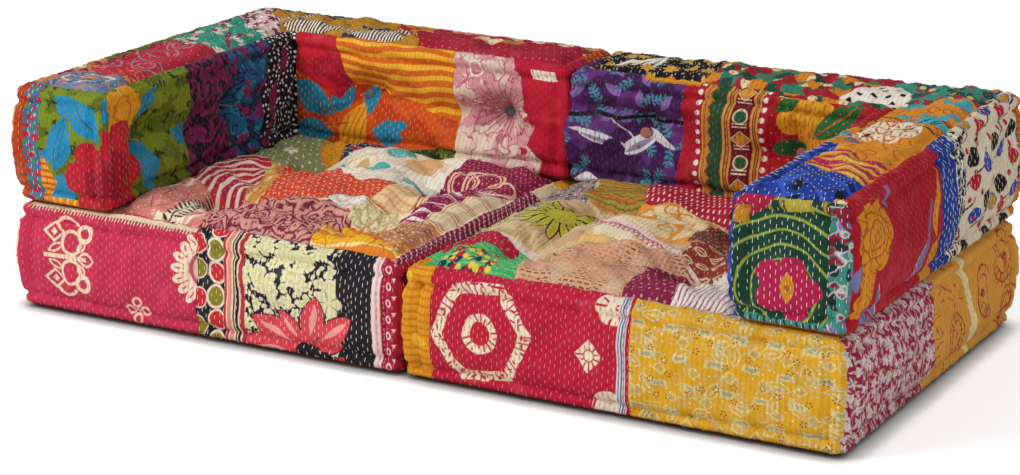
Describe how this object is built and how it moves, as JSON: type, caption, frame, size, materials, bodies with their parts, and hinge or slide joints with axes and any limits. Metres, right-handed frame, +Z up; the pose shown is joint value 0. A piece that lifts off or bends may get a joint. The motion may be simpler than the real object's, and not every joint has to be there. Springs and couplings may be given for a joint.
{
  "type": "modular pouf",
  "caption": "Low floor seating of square tufted cushions side by side, each with a loose L-shaped bolster as its arm and back, in patchwork cloth.",
  "frame": {"origin": "on the floor under the middle of the set", "axes": "+X along the set towards the right-hand module, +Y from the open front to the back, +Z up"},
  "size_m": [1.64, 0.828, 0.4323],
  "materials": {
    "patchwork_cloth": "quilted cotton patchwork with dense running stitches",
    "base_cloth": "plain rust-orange cotton",
    "cotton_filling": "loose cotton batting",
    "button_cloth": "plain cotton over a button",
    "tuft_twine": "waxed cotton twine",
    "anchor_felt": "pressed felt"
  },
  "bodies": {
    "left_seat": {"left_seat_top_panel": "patchwork_cloth", "left_seat_base_panel": "base_cloth", "left_seat_front_band": "patchwork_cloth", "left_seat_outer_band": "patchwork_cloth", "left_seat_back_band": "patchwork_cloth", "left_seat_inner_band": "patchwork_cloth", "left_seat_filling": "cotton_filling", "left_seat_buttons": "button_cloth", "left_seat_twine": "tuft_twine", "left_seat_anchors": "anchor_felt"},
    "left_bolster": {"left_bolster_arm_top_panel": "patchwork_cloth", "left_bolster_back_top_panel": "patchwork_cloth", "left_bolster_arm_base_panel": "base_cloth", "left_bolster_back_base_panel": "base_cloth", "left_bolster_arm_front_band": "patchwork_cloth", "left_bolster_arm_outer_band": "patchwork_cloth", "left_bolster_back_outer_band": "patchwork_cloth", "left_bolster_back_end_band": "patchwork_cloth", "left_bolster_back_inner_band": "patchwork_cloth", "left_bolster_arm_inner_band": "patchwork_cloth", "left_bolster_arm_filling": "cotton_filling", "left_bolster_back_filling": "cotton_filling", "left_bolster_buttons": "button_cloth", "left_bolster_twine": "tuft_twine", "left_bolster_anchors": "anchor_felt"},
    "right_seat": {"right_seat_top_panel": "patchwork_cloth", "right_seat_base_panel": "base_cloth", "right_seat_front_band": "patchwork_cloth", "right_seat_outer_band": "patchwork_cloth", "right_seat_back_band": "patchwork_cloth", "right_seat_inner_band": "patchwork_cloth", "right_seat_filling": "cotton_filling", "right_seat_buttons": "button_cloth", "right_seat_twine": "tuft_twine", "right_seat_anchors": "anchor_felt"},
    "right_bolster": {"right_bolster_arm_top_panel": "patchwork_cloth", "right_bolster_back_top_panel": "patchwork_cloth", "right_bolster_arm_base_panel": "base_cloth", "right_bolster_back_base_panel": "base_cloth", "right_bolster_arm_front_band": "patchwork_cloth", "right_bolster_arm_outer_band": "patchwork_cloth", "right_bolster_back_outer_band": "patchwork_cloth", "right_bolster_back_end_band": "patchwork_cloth", "right_bolster_back_inner_band": "patchwork_cloth", "right_bolster_arm_inner_band": "patchwork_cloth", "right_bolster_arm_filling": "cotton_filling", "right_bolster_back_filling": "cotton_filling", "right_bolster_buttons": "button_cloth", "right_bolster_twine": "tuft_twine", "right_bolster_anchors": "anchor_felt"}
  },
  "joints": [
    {"name": "module_part", "type": "slide", "parent": "left_seat", "child": "right_seat", "axis": [1, 0, 0], "range_m": [0, 0.4]},
    {"name": "left_bolster_lift", "type": "slide", "parent": "left_seat", "child": "left_bolster", "axis": [0, 0, 1], "range_m": [0, 0.35]},
    {"name": "right_bolster_lift", "type": "slide", "parent": "right_seat", "child": "right_bolster", "axis": [0, 0, 1], "range_m": [0, 0.35]}
  ]
}
